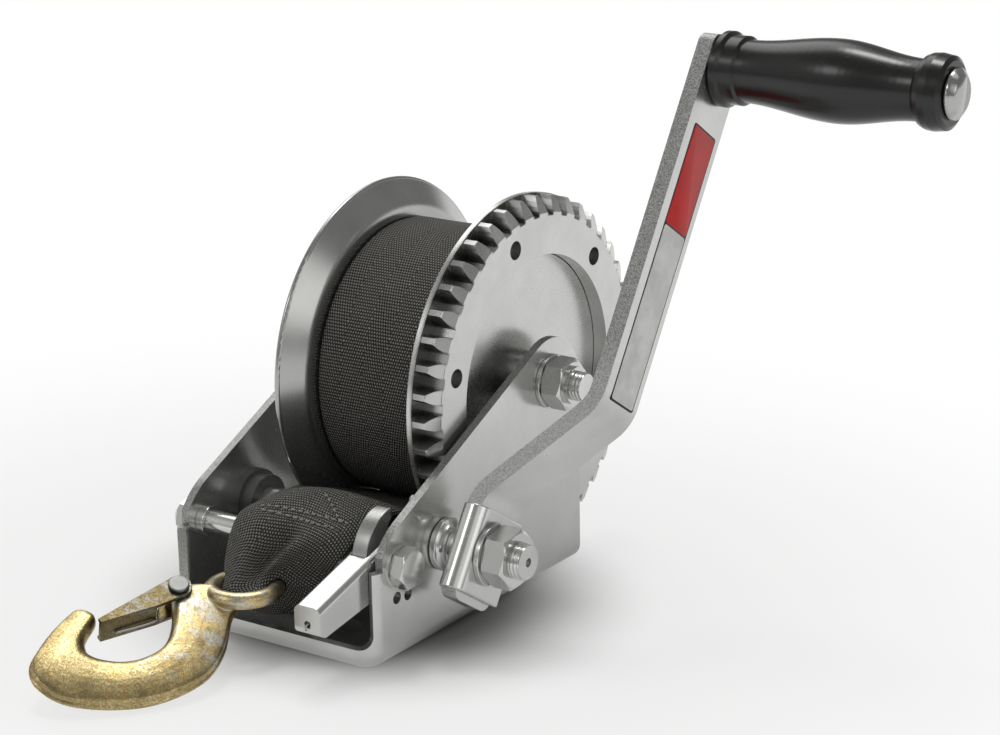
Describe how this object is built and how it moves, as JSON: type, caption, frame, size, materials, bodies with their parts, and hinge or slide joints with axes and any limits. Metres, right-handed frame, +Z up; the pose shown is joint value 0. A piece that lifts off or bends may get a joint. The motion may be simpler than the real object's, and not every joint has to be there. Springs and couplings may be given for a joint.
{
  "type": "boat trailer winch",
  "caption": "Hand-cranked boat trailer winch: folded steel frame, geared webbing drum, two-way pawl, crank with turning grip, strap and snap hook.",
  "frame": {"origin": "on the underside of the frame's floor, midway between the side plates and between their front and rear edges", "axes": "X along the drum axle with the crank on +X, -Y is the side the strap leaves from, Z up"},
  "size_m": [0.2409, 0.2596, 0.2032],
  "materials": {
    "zinc": "bright clear zinc plating on pressed and machined steel",
    "dark_zinc": "darker zinc plating on springs, pinion, pawl and drum core",
    "plastic": "satin black plastic",
    "webbing": "black woven polyester webbing",
    "yellow_zinc": "mottled yellow zinc plating on the forged hook"
  },
  "bodies": {
    "frame": {"frame": "zinc", "axle_bolt": "zinc", "axle_washers": "zinc", "axle_nut": "zinc", "left_shaft_bush": "plastic", "right_shaft_bush": "plastic", "tie_bolt": "zinc", "tie_collar": "zinc", "tie_nut": "zinc", "strap_tail": "webbing"},
    "drum": {"left_flange": "zinc", "drum_core": "dark_zinc", "drum_hub": "dark_zinc", "gear_flange": "zinc", "gear_ring": "zinc", "wound_strap": "webbing"},
    "crank": {"drive_shaft": "zinc", "pinion": "dark_zinc", "shaft_clip": "dark_zinc", "spool_bush": "zinc", "crank_socket": "zinc", "crank_arm": "zinc", "crank_washer": "zinc", "crank_nut": "zinc", "grip_rivet": "zinc"},
    "grip": {"grip": "plastic"},
    "pawl": {"pawl": "dark_zinc", "pawl_lever": "zinc", "pawl_spring": "dark_zinc"},
    "hook": {"hook": "yellow_zinc", "latch_rivet": "zinc"},
    "latch": {"hook_latch": "yellow_zinc", "latch_spring": "dark_zinc"}
  },
  "joints": [
    {"name": "drum_spin", "type": "hinge", "parent": "frame", "child": "drum", "pos_m": [0, 0.0445, 0.0749], "axis": [1, 0, 0], "continuous": true},
    {"name": "crank_spin", "type": "hinge", "parent": "frame", "child": "crank", "pos_m": [0, -0.02327, 0.03412], "axis": [1, 0, 0], "continuous": true},
    {"name": "grip_spin", "type": "hinge", "parent": "crank", "child": "grip", "pos_m": [0, 0.07825, 0.18866], "axis": [1, 0, 0], "continuous": true},
    {"name": "pawl_pivot", "type": "hinge", "parent": "frame", "child": "pawl", "pos_m": [0, -0.04997, 0.03452], "axis": [-1, 0, 0], "range_deg": [0, 26]},
    {"name": "hook_swing", "type": "hinge", "parent": "frame", "child": "hook", "pos_m": [-0.0056, -0.061, 0.023], "axis": [-1, 0, 0], "range_deg": [0, 40]},
    {"name": "latch_pivot", "type": "hinge", "parent": "hook", "child": "latch", "pos_m": [-0.02045, -0.08958, 0.02321], "axis": [0.3789, -0.2869, 0.8798], "range_deg": [0, 22]}
  ],
  "couplings": [
    {"joint": "crank_spin", "follows": "drum_spin", "ratio": -4.2}
  ]
}
